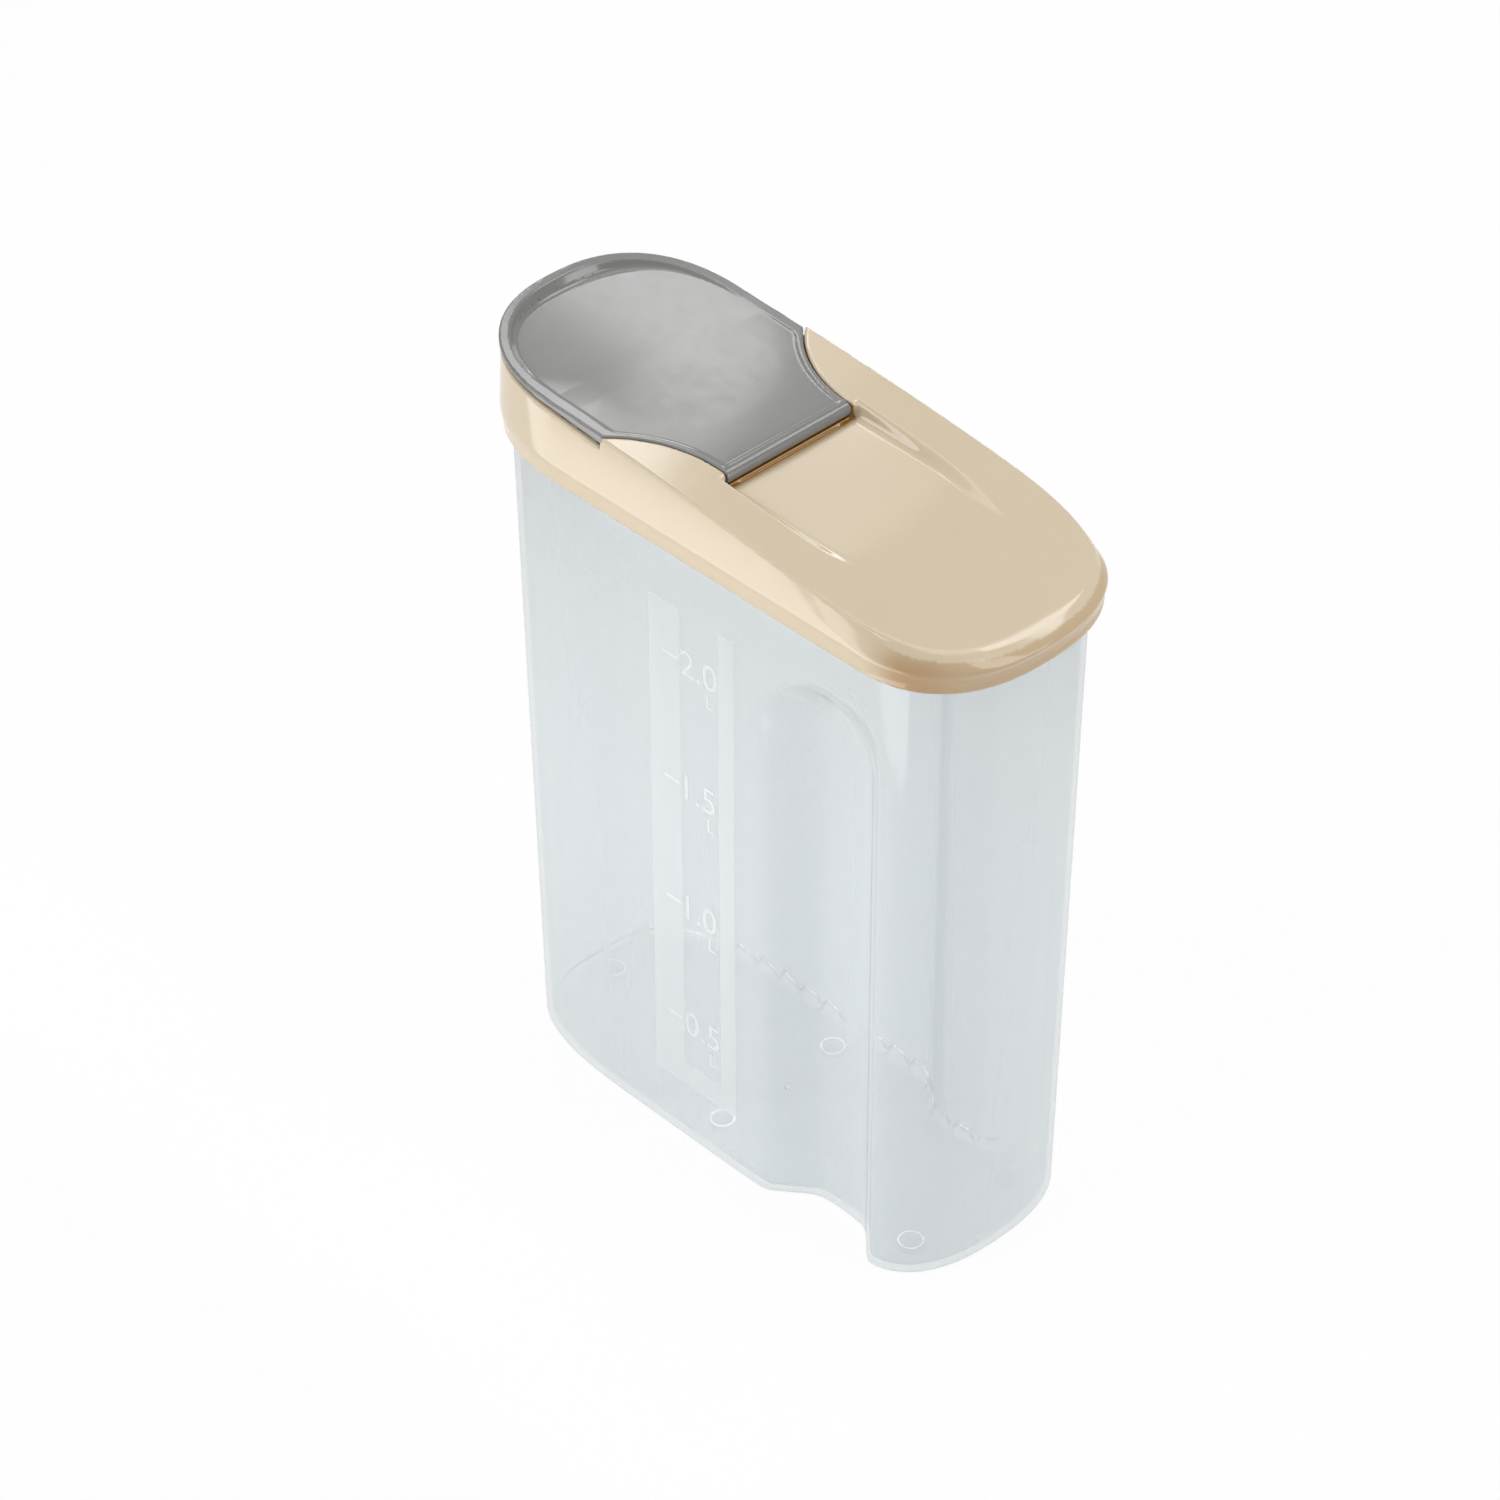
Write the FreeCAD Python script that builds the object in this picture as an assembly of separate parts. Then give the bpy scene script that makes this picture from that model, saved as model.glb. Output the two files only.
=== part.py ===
"""Storage jar with a lift-off lid, its sealing ring and a flip-up pouring flap.

Millimetres, +Z up. The origin is on the surface that the jar stands on, under the middle of the jar.
X runs along the jar, with the pouring end at -X and the rear end at +X. The jar is alike on both sides of Y = 0.
"""
import FreeCAD
import Part
import math
import os
from collections import namedtuple

# Jar
jar_height = 228.0
rim_length = 196.1
rim_width = 77.7
rim_front_round = 46.3
rim_rear_round = 32.8
rim_band_height = 3.0
wall_front_inset = 1.3
wall_side_inset = 2.0
wall_rear_inset = 3.45
base_front_inset = 7.65
base_side_inset = 2.15
base_rear_inset = 8.25
wall_front_round = 64.0
wall_rear_round = 25.0
jar_wall = 1.6
jar_floor = 1.8
base_edge_radius = 2.5
inner_edge_radius = 2.0

# Feet under the jar
foot_radius = 4.0
foot_height = 0.8
front_foot_inset = 10.3
middle_foot_x = -5.6
middle_foot_inset = 13.0
rear_foot_inset = 17.8
rear_foot_side_inset = 16.2

# Grip hollows in the long sides of the jar
grip_x = 48.9
grip_floor_length = 20.4
grip_depth = 11.0
grip_front_ramp = 12.7
grip_rear_ramp = 10.2
grip_height = 204.0
grip_top_ramp = 11.0

# Lid
lid_wall = 2.0
skirt_wall = 1.6
skirt_overlap = 3.8
rim_gap = 0.35
plug_wall = 1.6
plug_drop = 4.0
web_thickness = 1.6
lid_height = 30.0
ridge_out = 0.7
top_inset = 1.0
top_front_round = 42.0
top_rear_round = 66.0
rear_rake = 36.0
crest_front_rise = 26.7
crest_middle_rise = 22.3
crest_rear_rise = 9.8
recess_half_width = 26.0
recess_depth = 4.8
recess_length = 55.0
recess_corner_radius = 3.0
bridge_length = 34.0

# Sealing ring
seal_thickness = 1.3
seal_side_gap = 0.1
seat_gap = 0.3

# Flap
hinge_x = -3.3
hinge_half_length = 24.1
barrel_radius = 2.3
pin_radius = 1.4
pin_engagement = 1.6
pin_clearance = 0.06
flap_gap = 0.4
flap_arc_radius = 42.5
flap_overhang = 1.3
flap_side_inset = 0.6
flap_plate = 1.8
flap_wall = 2.0
flap_corner_depth = 3.6
flap_tip_depth = 3.2
lip_rise = 3.8
lip_width = 2.2
lip_foot_width = 5.4
lip_length = 42.0

# Shape of the rounded ends and of the slanted inner faces
end_power_share = 2.4
wall_front_power_share = 3.2
ramp_grow_share = 0.5
lip_slant_share = 0.4
end_steps = 10
base_round_steps = 5
overrun = 12.0

Plan = namedtuple("Plan", "front rear half_width front_round rear_round front_power")

rim_plan = Plan(-rim_length / 2, rim_length / 2, rim_width / 2, rim_front_round, rim_rear_round, end_power_share)


def inset(plan, amount):
    """The same outline drawn in by an even amount."""
    return Plan(plan.front + amount, plan.rear - amount, plan.half_width - amount,
                plan.front_round - amount, plan.rear_round - amount, plan.front_power)


def wall_plan(front_inset, side_inset, rear_inset):
    """Outline of the jar's wall, drawn in from the rim by its own amount in front, at the sides and behind."""
    return Plan(rim_plan.front + front_inset, rim_plan.rear - rear_inset, rim_plan.half_width - side_inset,
                wall_front_round, wall_rear_round, wall_front_power_share)


wall_top_plan = wall_plan(wall_front_inset, wall_side_inset, wall_rear_inset)
base_plan = wall_plan(base_front_inset, base_side_inset, base_rear_inset)


def wall_at(z):
    """Outline of the jar's wall at one height."""
    base_z = foot_height + base_edge_radius
    share = (z - base_z) / (jar_height - base_z)
    return Plan(*(low + (high - low) * share for low, high in zip(base_plan, wall_top_plan)))


# Levels and outlines that the lid takes from the jar
skirt_z = jar_height - skirt_overlap
seal_z = jar_height + seat_gap
roof_z = seal_z + seal_thickness
ridge_z = roof_z + web_thickness
top_z = skirt_z + lid_height
plug_z = skirt_z - plug_drop
skirt_plan = inset(rim_plan, -(rim_gap + skirt_wall))
ridge_plan = inset(skirt_plan, -ridge_out)
top_plan = Plan(skirt_plan.front + top_inset, skirt_plan.rear - rear_rake, skirt_plan.half_width - top_inset,
                top_front_round, top_rear_round, end_power_share)
plug_plan = inset(wall_at(plug_z), jar_wall + rim_gap)

# The crest is one long arc along the top of the lid, through its front, middle and rear heights
crest_circle = Part.Circle(FreeCAD.Vector(skirt_plan.front, 0, skirt_z + crest_front_rise),
                           FreeCAD.Vector(0, 0, skirt_z + crest_middle_rise),
                           FreeCAD.Vector(skirt_plan.rear, 0, skirt_z + crest_rear_rise))


def crest_height(x):
    """Height of the lid's top at one place along the jar."""
    across = x - crest_circle.Center.x
    return crest_circle.Center.z + math.sqrt(crest_circle.Radius ** 2 - across ** 2)


# Places on the flap that the lid follows
hinge_z = crest_height(hinge_x) - barrel_radius
flap_plan = Plan(top_plan.front - flap_overhang, top_plan.rear, top_plan.half_width - flap_side_inset,
                 top_plan.front_round, top_plan.rear_round, end_power_share)
arc_centre_y = hinge_half_length + flap_arc_radius
corner_x = hinge_x - math.sqrt(flap_arc_radius ** 2 - (arc_centre_y - flap_plan.half_width) ** 2)
lip_base_z = crest_height(flap_plan.front)
lip_top_z = lip_base_z + lip_rise
pocket_end_x = hinge_x + barrel_radius + flap_gap
recess_end_x = pocket_end_x + recess_length


def seat_height(x):
    """Height of the slanted seat that the flap closes on."""
    corner_z = crest_height(corner_x) - flap_corner_depth
    tip_z = lip_top_z - flap_tip_depth
    slope = (tip_z - corner_z) / (flap_plan.front - corner_x)
    return corner_z + slope * (x - corner_x)


def rounded_end(side_x, tip, half_width, power, z):
    """One smooth rounded end, from the side at +Y round the tip to the side at -Y."""
    points = []
    for step in range(-end_steps, end_steps + 1):
        angle = step / end_steps * math.pi / 2
        along = abs(math.cos(angle)) ** (2 / power)
        out = abs(math.sin(angle)) ** (2 / power)
        points.append(FreeCAD.Vector(side_x + (tip - side_x) * along, -math.copysign(out, angle) * half_width, z))
    points[0] = FreeCAD.Vector(side_x, half_width, z)
    points[-1] = FreeCAD.Vector(side_x, -half_width, z)
    curve = Part.BSplineCurve()
    curve.interpolate(points)
    return curve.toShape()


def outline(plan, z):
    """Closed outline with rounded ends and straight sides, at one height."""
    front_x = plan.front + plan.front_round
    rear_x = plan.rear - plan.rear_round
    front = rounded_end(front_x, plan.front, plan.half_width, plan.front_power, z)
    near = Part.makeLine((front_x, -plan.half_width, z), (rear_x, -plan.half_width, z))
    rear = rounded_end(rear_x, plan.rear, plan.half_width, end_power_share, z)
    far = Part.makeLine((rear_x, plan.half_width, z), (front_x, plan.half_width, z))
    return Part.Wire(Part.__sortEdges__([front, near, rear, far]))


def loft(*levels):
    """Solid through outlines, each given as a plan and its height."""
    return Part.makeLoft([outline(plan, z) for plan, z in levels], True, True)


def prism_across(edges, half_width):
    """Solid swept straight across the jar from a closed outline in the middle plane."""
    face = Part.Face(Part.Wire(edges))
    face.translate(FreeCAD.Vector(0, -half_width, 0))
    return face.extrude(FreeCAD.Vector(0, 2 * half_width, 0))


def path(*points):
    """Straight edges through points."""
    return [Part.makeLine(start, end) for start, end in zip(points, points[1:])]


cut_half_width = ridge_plan.half_width + overrun
cut_top_z = top_z + overrun
cut_front_x = ridge_plan.front - overrun
cut_rear_x = ridge_plan.rear + overrun


def above_crest(front_x, drop):
    """Everything above the crest arc, lowered by a drop, from one place to behind the lid."""
    middle_x = (front_x + cut_rear_x) / 2
    front = FreeCAD.Vector(front_x, 0, crest_height(front_x) - drop)
    middle = FreeCAD.Vector(middle_x, 0, crest_height(middle_x) - drop)
    rear = FreeCAD.Vector(cut_rear_x, 0, crest_height(cut_rear_x) - drop)
    rear_top = FreeCAD.Vector(cut_rear_x, 0, cut_top_z)
    front_top = FreeCAD.Vector(front_x, 0, cut_top_z)
    arc = Part.Arc(front, middle, rear).toShape()
    return prism_across([arc] + path(rear, rear_top, front_top, front), cut_half_width)


def above_seat(lift, rear_x):
    """Everything above the flap's slanted seat, raised by a lift, up to one place."""
    front = FreeCAD.Vector(cut_front_x, 0, seat_height(cut_front_x) + lift)
    rear = FreeCAD.Vector(rear_x, 0, seat_height(rear_x) + lift)
    rear_top = FreeCAD.Vector(rear_x, 0, cut_top_z)
    front_top = FreeCAD.Vector(cut_front_x, 0, cut_top_z)
    return prism_across(path(front, rear, rear_top, front_top, front), cut_half_width)


def standing_prism(edges):
    """Solid raised from a closed outline at the rim to above the lid."""
    face = Part.Face(Part.Wire(Part.__sortEdges__(edges)))
    return face.extrude(FreeCAD.Vector(0, 0, cut_top_z - jar_height))


def ear_arc(side, radius, reach):
    """Arc between flap and lid ear on one side, out to a distance from the middle plane."""
    def at(y):
        return FreeCAD.Vector(hinge_x - math.sqrt(radius ** 2 - (arc_centre_y - y) ** 2), side * y, jar_height)
    inner = arc_centre_y - radius
    start = FreeCAD.Vector(hinge_x, side * inner, jar_height)
    return Part.Arc(start, at((inner + reach) / 2), at(reach)).toShape(), start, at(reach)


def flap_block(amount):
    """Upright block in the flap's outline, drawn in by an amount."""
    plan = inset(flap_plan, amount)
    radius = flap_arc_radius + amount
    near_arc, near_hinge, near_corner = ear_arc(-1, radius, plan.half_width)
    far_arc, far_hinge, far_corner = ear_arc(1, radius, plan.half_width)
    rear_x = hinge_x - amount
    front_x = plan.front + plan.front_round
    front = rounded_end(front_x, plan.front, plan.half_width, plan.front_power, jar_height)
    near_side = path(FreeCAD.Vector(front_x, -plan.half_width, jar_height), near_corner)
    far_side = path(far_corner, FreeCAD.Vector(front_x, plan.half_width, jar_height))
    rear = path(near_hinge, far_hinge)
    block = standing_prism([front, near_arc, far_arc] + near_side + far_side + rear)
    behind = Part.makeBox(overrun, 2 * cut_half_width, 2 * cut_top_z)
    behind.translate(FreeCAD.Vector(rear_x, -cut_half_width, 0))
    return block.cut(behind)


def pocket_block(amount):
    """Upright block that the flap swings in, grown by an amount: all in front of the lid's two ears."""
    radius = flap_arc_radius - flap_gap - amount
    reach = cut_half_width
    near_arc, near_hinge, near_corner = ear_arc(-1, radius, reach)
    far_arc, far_hinge, far_corner = ear_arc(1, radius, reach)
    rear_x = pocket_end_x + amount
    near_rear = FreeCAD.Vector(rear_x, near_hinge.y, jar_height)
    far_rear = FreeCAD.Vector(rear_x, far_hinge.y, jar_height)
    near_front = FreeCAD.Vector(cut_front_x, -reach, jar_height)
    far_front = FreeCAD.Vector(cut_front_x, reach, jar_height)
    rear = path(near_hinge, near_rear, far_rear, far_hinge)
    front = path(near_corner, near_front, far_front, far_corner)
    return standing_prism([near_arc, far_arc] + rear + front)


def recess_block(amount):
    """Shallow hollow behind the hinge that runs out into the top of the lid, grown by an amount."""
    start_z = crest_height(pocket_end_x) - recess_depth
    slope = (crest_height(recess_end_x) - start_z) / recess_length
    rear_x = recess_end_x + overrun
    start = FreeCAD.Vector(pocket_end_x - amount, 0, start_z - slope * amount - amount)
    end = FreeCAD.Vector(rear_x, 0, start_z + slope * (rear_x - pocket_end_x) - amount)
    end_top = FreeCAD.Vector(rear_x, 0, cut_top_z)
    start_top = FreeCAD.Vector(start.x, 0, cut_top_z)
    block = prism_across(path(start, end, end_top, start_top, start), recess_half_width + amount)
    low_edges = [edge for edge in block.Edges if edge.BoundBox.XLength > recess_length
                 and edge.CenterOfMass.z < crest_height(0)]
    return block.makeFillet(recess_corner_radius + amount, low_edges)


def grip_block(side, amount):
    """Tapered arch that hollows one long side of the jar, grown by an amount for the wall's inner face."""
    floor_y = base_plan.half_width - grip_depth - amount
    mouth_y = rim_plan.half_width + overrun
    run_share = (mouth_y - floor_y) / grip_depth
    grown = ramp_grow_share * amount
    wires = []
    for y, run in ((floor_y, 0), (mouth_y, run_share)):
        front_x = grip_x - grip_floor_length / 2 - grown - grip_front_ramp * run
        rear_x = grip_x + grip_floor_length / 2 + grown + grip_rear_ramp * run
        radius = (rear_x - front_x) / 2
        peak_z = grip_height - grip_top_ramp + grown + grip_top_ramp * run
        bottom_front = FreeCAD.Vector(front_x, side * y, -overrun)
        bottom_rear = FreeCAD.Vector(rear_x, side * y, -overrun)
        spring_rear = FreeCAD.Vector(rear_x, side * y, peak_z - radius)
        peak = FreeCAD.Vector(front_x + radius, side * y, peak_z)
        spring_front = FreeCAD.Vector(front_x, side * y, peak_z - radius)
        arch = Part.Arc(spring_rear, peak, spring_front).toShape()
        wires.append(Part.Wire(path(bottom_front, bottom_rear, spring_rear) + [arch]
                               + path(spring_front, bottom_front)))
    return Part.makeLoft(wires, True, True)


def round_base(plan, z, radius):
    """Levels that round the bottom edge of a tub, from its flat bottom up to its side."""
    levels = []
    for step in range(base_round_steps + 1):
        angle = step / base_round_steps * math.pi / 2
        levels.append((inset(plan, radius * (1 - math.sin(angle))), z + radius * (1 - math.cos(angle))))
    return levels


def foot_places():
    """Middles of the five feet."""
    front_x = base_plan.front + front_foot_inset
    rear_x = base_plan.rear - rear_foot_inset
    middle_y = base_plan.half_width - middle_foot_inset
    rear_y = base_plan.half_width - rear_foot_side_inset
    return [(front_x, 0), (middle_foot_x, -middle_y), (middle_foot_x, middle_y), (rear_x, -rear_y), (rear_x, rear_y)]


def make_jar():
    """Tapering oval tub with a band round the rim, a grip hollow in each long side and five feet."""
    outside = loft(*round_base(base_plan, foot_height, base_edge_radius), (wall_top_plan, jar_height))
    outside = outside.fuse(loft((rim_plan, jar_height - rim_band_height), (rim_plan, jar_height)))
    inner_base = inset(base_plan, jar_wall)
    inner_top = inset(wall_top_plan, jar_wall)
    inside = loft(*round_base(inner_base, foot_height + jar_floor, inner_edge_radius),
                  (inner_top, jar_height), (inner_top, jar_height + overrun))
    for side in (-1, 1):
        outside = outside.cut(grip_block(side, 0))
        inside = inside.cut(grip_block(side, jar_wall))
    for x, y in foot_places():
        foot = Part.makeCylinder(foot_radius, foot_height + jar_floor / 2, FreeCAD.Vector(x, y, 0))
        outside = outside.fuse(foot)
    return outside.cut(inside).removeSplitter()


def rim_groove(top):
    """Ring-shaped groove in the lid that the jar's rim and the sealing ring sit in."""
    outer = inset(skirt_plan, skirt_wall)
    ring = loft((outer, skirt_z - overrun), (outer, top))
    return ring.cut(loft((plug_plan, plug_z - overrun), (plug_plan, top + overrun)))


def lid_hollow():
    """Space inside the lid, open to the jar below and to the pouring mouth in front."""
    low_plan = inset(plug_plan, plug_wall)
    low = loft((low_plan, plug_z - overrun), (low_plan, ridge_z + web_thickness))
    high = loft((inset(ridge_plan, lid_wall), ridge_z), (inset(top_plan, lid_wall), top_z))
    bridge_front_x = pocket_end_x - bridge_length
    bridge = pocket_block(lid_wall).common(above_seat(-lid_wall, pocket_end_x + lid_wall))
    ahead = Part.makeBox(bridge_front_x - cut_front_x, 2 * cut_half_width, 2 * cut_top_z)
    ahead.translate(FreeCAD.Vector(cut_front_x, -cut_half_width, 0))
    high = high.cut(above_crest(bridge_front_x, lid_wall))
    high = high.cut(bridge.cut(ahead))
    high = high.cut(recess_block(lid_wall))
    return low.fuse(high)


def pin_cylinder(radius, half_length):
    """Round bar on the flap's hinge line."""
    start = FreeCAD.Vector(hinge_x, -half_length, hinge_z)
    return Part.makeCylinder(radius, 2 * half_length, start, FreeCAD.Vector(0, 1, 0))


def make_lid():
    """Hollow lid with a skirt round the rim, a sloping top, two ears for the flap and an open pouring mouth."""
    plug = loft((plug_plan, plug_z), (plug_plan, roof_z))
    lid = loft((skirt_plan, skirt_z), (ridge_plan, ridge_z), (top_plan, top_z)).fuse(plug)
    lid = lid.cut(above_crest((corner_x + flap_plan.front) / 2, 0))
    lid = lid.cut(pocket_block(0).common(above_seat(0, pocket_end_x)))
    lid = lid.cut(recess_block(0))
    lid = lid.cut(rim_groove(roof_z))
    lid = lid.cut(lid_hollow())
    lid = lid.cut(pin_cylinder(barrel_radius + flap_gap, hinge_half_length + flap_gap))
    lid = lid.cut(pin_cylinder(pin_radius + pin_clearance, hinge_half_length + flap_gap + lid_wall))
    return lid.removeSplitter()


def make_lid_seal():
    """Flat soft ring at the top of the lid's groove, which closes on the jar's rim."""
    outer = inset(skirt_plan, skirt_wall + seal_side_gap)
    inner = inset(plug_plan, -seal_side_gap)
    ring = loft((outer, seal_z), (outer, roof_z))
    return ring.cut(loft((inner, seal_z - overrun), (inner, roof_z + overrun)))


def lip_height(x):
    """Height of the pouring lip's top edge, which leaves the crest at a slant."""
    run = (flap_plan.front + lip_length - x) / lip_length
    return crest_height(x) + lip_rise * run * (lip_slant_share + (1 - lip_slant_share) * run)


def below_lip():
    """Everything under the lip's top edge, from its tip to where it has dipped under the crest."""
    def at(x):
        return FreeCAD.Vector(x, 0, lip_height(x))
    tip_x = flap_plan.front - lip_width
    tail_x = flap_plan.front + lip_length + lip_foot_width
    tip_low = FreeCAD.Vector(tip_x, 0, jar_height)
    tail_low = FreeCAD.Vector(tail_x, 0, jar_height)
    lip = Part.Arc(at(tail_x), at((tail_x + tip_x) / 2), at(tip_x)).toShape()
    return prism_across([lip] + path(at(tip_x), tip_low, tail_low, at(tail_x)), cut_half_width)


def make_flap():
    """Thin flap with a raised pouring lip round its plate, a hinge barrel and two pivot pins."""
    plate_bottom = above_crest(cut_front_x, flap_plate)
    mouth_plan = inset(top_plan, lid_wall + flap_gap)
    plug = loft((mouth_plan, jar_height), (mouth_plan, cut_top_z)).common(plate_bottom)
    block = flap_block(0)
    band = block.common(above_seat(seat_gap, hinge_x + overrun))
    plate = band.fuse(plug.common(block)).cut(above_crest(cut_front_x, 0))
    dish_plan = inset(flap_plan, lip_foot_width)
    lip_plan = inset(flap_plan, lip_width)
    dish = loft((dish_plan, hinge_z), (dish_plan, lip_base_z), (lip_plan, lip_top_z), (lip_plan, cut_top_z))
    lip = band.cut(dish).common(below_lip())
    flap = plate.fuse(lip).cut(flap_block(flap_wall).cut(plate_bottom))
    flap = flap.fuse(pin_cylinder(barrel_radius, hinge_half_length))
    return flap.fuse(pin_cylinder(pin_radius, hinge_half_length + flap_gap + pin_engagement))


def main():
    """Build every piece and write it."""
    os.makedirs("parts", exist_ok=True)
    pieces = {"jar": make_jar(), "lid": make_lid(), "lid_seal": make_lid_seal(), "flap": make_flap()}
    for name, shape in pieces.items():
        box = shape.optimalBoundingBox(False)
        print(name, len(shape.Solids), "solid, valid", shape.isValid(), "volume", round(shape.Volume),
              "z", round(box.ZMin, 2), round(box.ZMax, 2), "x", round(box.XMin, 2), round(box.XMax, 2))
        shape.exportStep(os.path.join("parts", name + ".step"))
    print("hinge at x", round(hinge_x, 2), "z", round(hinge_z, 2))


main()
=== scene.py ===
"""Looks of the storage jar: translucent jar, cream lid, grey pouring flap, on a white floor."""
import math
from collections import namedtuple

import bpy
import numpy as np
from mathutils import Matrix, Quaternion, Vector


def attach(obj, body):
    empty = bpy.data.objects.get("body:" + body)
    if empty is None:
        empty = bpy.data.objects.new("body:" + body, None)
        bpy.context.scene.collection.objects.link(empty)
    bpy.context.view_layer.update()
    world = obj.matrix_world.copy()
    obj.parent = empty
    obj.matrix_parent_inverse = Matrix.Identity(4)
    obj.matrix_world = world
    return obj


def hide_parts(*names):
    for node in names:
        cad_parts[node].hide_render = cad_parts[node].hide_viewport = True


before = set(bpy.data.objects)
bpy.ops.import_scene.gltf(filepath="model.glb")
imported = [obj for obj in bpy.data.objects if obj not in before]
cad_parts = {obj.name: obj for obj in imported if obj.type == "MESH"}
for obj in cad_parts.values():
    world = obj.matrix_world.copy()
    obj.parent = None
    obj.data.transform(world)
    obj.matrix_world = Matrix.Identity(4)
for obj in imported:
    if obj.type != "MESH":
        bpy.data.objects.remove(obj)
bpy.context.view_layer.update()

# All sizes are millimetres in the frame's axes; meshes are written in metres
MM = 0.001

# Jar
jar_height = 228.0
rim_length = 196.1
rim_width = 77.7
rim_front_round = 46.3
rim_rear_round = 32.8
rim_band_height = 3.0
wall_front_inset = 1.3
wall_side_inset = 2.0
wall_rear_inset = 3.45
base_front_inset = 7.65
base_side_inset = 2.15
base_rear_inset = 8.25
wall_front_round = 64.0
wall_rear_round = 25.0
jar_wall = 1.6
jar_floor = 1.8
base_edge_radius = 2.5
inner_edge_radius = 2.0
rim_edge_radius = 0.6
edge_bevel = 0.3  # share of an edge radius at the middle of its bevel

# Feet and gate mark under the jar
foot_radius = 4.0
foot_height = 0.8
foot_edge = 0.7
foot_ring_width = 0.55
foot_clear = 0.02
foot_places = ((-80.1, 0), (-5.6, -23.7), (-5.6, 23.7), (72.0, -20.5), (72.0, 20.5))
gate_place = (-2.3, 0)
gate_radius = 1.5
gate_height = 0.5

# Bead round the inner edge of the floor, and the uneven moulding along its far side
edge_bead_width = 1.0
edge_bead_inset = 0.8
ripple_front_x = -68.0
ripple_rear_x = 84.0
ripple_fade = 10.0
ripple_side_y = 14.0
ripple_side_fade = 8.0
ripple_lift = 1.5
ripple_long_height = 1.3
ripple_long_turn = 0.65  # radians per millimetre
ripple_short_height = 0.8
ripple_short_turn = 1.31
ripple_short_start = 1.0

# Grip hollows in the long sides
grip_x = 48.9
grip_floor_length = 20.4
grip_depth = 11.0
grip_front_ramp = 12.7
grip_rear_ramp = 10.2
grip_height = 204.0
grip_top_ramp = 11.0
grip_fillet = 3.0
grip_blend = 1.6
grip_blend_reach = 8.0
arch_low_z = 150.0
arch_high_z = 212.0

# Level strip on the near side: a frosted border round a clear window, with marks
strip_front_x = -20.6
strip_rear_x = 14.0
strip_low_z = 23.5
strip_high_z = 203.0
window_front_x = -8.0
window_rear_x = 7.8
window_low_z = 32.5
strip_rise = 0.12
mark_rise = 0.2
mark_thickness = 1.0
mark_front_x = -14.7
mark_rear_x = -8.7
mark_step = 45.2
first_mark_z = 49.4
digit_height = 9.0
unit_height = 4.5
unit_drop = 6.75
mark_count = 4
mark_litres = 0.5

# Lid
lid_wall = 2.0
skirt_wall = 1.6
skirt_overlap = 3.8
rim_gap = 0.35
plug_wall = 1.6
plug_drop = 4.0
web_thickness = 1.6
lid_height = 30.0
ridge_out = 0.7
top_inset = 1.0
top_front_round = 42.0
top_rear_round = 66.0
rear_rake = 36.0
crest_front_rise = 26.7
crest_middle_rise = 22.3
crest_rear_rise = 9.8
ridge_soft = 0.7
plateau_rise = 4.5
plateau_round = 50.0
plateau_power = 3.4
undercut_depth = 0.6
undercut_start = 0.3
undercut_full = 2.6
undercut_return = 0.7
undercut_return_start = 4.4
undercut_return_end = 6.2
skirt_taper_drop = 6.5
lid_top_radius = 0.7
skirt_edge_radius = 0.6
plug_edge_radius = 0.5
pocket_edge_radius = 0.7
lid_inside_radius = 0.4
recess_half_width = 26.0
recess_depth = 4.8
recess_length = 58.0
recess_corner_radius = 3.0
recess_end_radius = 3.0
recess_end_length = 26.0
recess_cup = 0.45
recess_rim_radius = 2.0
bridge_length = 34.0
seal_thickness = 1.3
seal_side_gap = 0.1
seal_edge_radius = 0.3
seat_gap = 0.3

# Flap
hinge_x = -3.3
hinge_half_length = 24.1
barrel_radius = 2.3
barrel_edge_radius = 0.3
barrel_fillet = 0.4
pin_radius = 1.4
pin_engagement = 1.6
flap_gap = 0.4
flap_arc_radius = 42.5
flap_overhang = 1.3
flap_side_inset = 0.6
flap_plate = 1.8
flap_wall = 2.0
flap_corner_depth = 3.6
flap_tip_depth = 3.2
flap_corner_radius = 0.5
flap_rim_radius = 0.55
flap_seat_radius = 0.25
lip_rise = 3.8
lip_width = 2.2
lip_foot_width = 3.2
lip_front_foot = 1.4
lip_length = 42.0
lip_slant = 0.4
dish_depth = 1.0
dish_fade = 44.0
dish_round = 1.2
dish_front_lift = 1.0
dish_side_lift = 1.4
dish_corner_radius = 2.0
dish_edge_radius = 0.5
bead_width = 1.6

# Painted shade on the lid: a darker warm colour in the gap round the flap and on the skirt's rear end,
# standing in for shadow and light bounced inside the cream plastic
painted_shade_near = 0.5
painted_shade_rear = 0.6
painted_shade_sides = 0.5
painted_shade_depth = 1.0
skirt_painted_shade = 0.62
skirt_painted_shade_ease = 0.4
skirt_painted_shade_height = 9.0
skirt_painted_shade_turn = 0.4  # rearward share of the wall's normal at which the shade is full
skirt_ease_start = 0.5
skirt_ease_end = 0.95

# Roundness of the ends in plan
end_power = 2.4
wall_front_power = 3.2

# Fineness of the meshes
lid_grid_low = (-102.1, -43.1, 219.1)
lid_grid_high = (102.1, 43.1, 253.1)
lid_grid_step = 0.7
flap_grid_low = (-101.6, -40.1, 241.1)
flap_grid_high = (0.4, 40.1, 256.1)
flap_grid_step = 0.55
settle_rounds = 4
settle_parts = 3
slope_parts = 12
normal_parts = 6
least_slope = 0.05
tiny = 1e-9
least_reach = 1e-6
front_steps = 64
rear_steps = 44
side_steps = 96
end_samples = 400
edge_rings = 7
wall_rings = 26
arch_rings = 56
top_rings = 5
floor_rows = 72
turn_steps = 40

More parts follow.
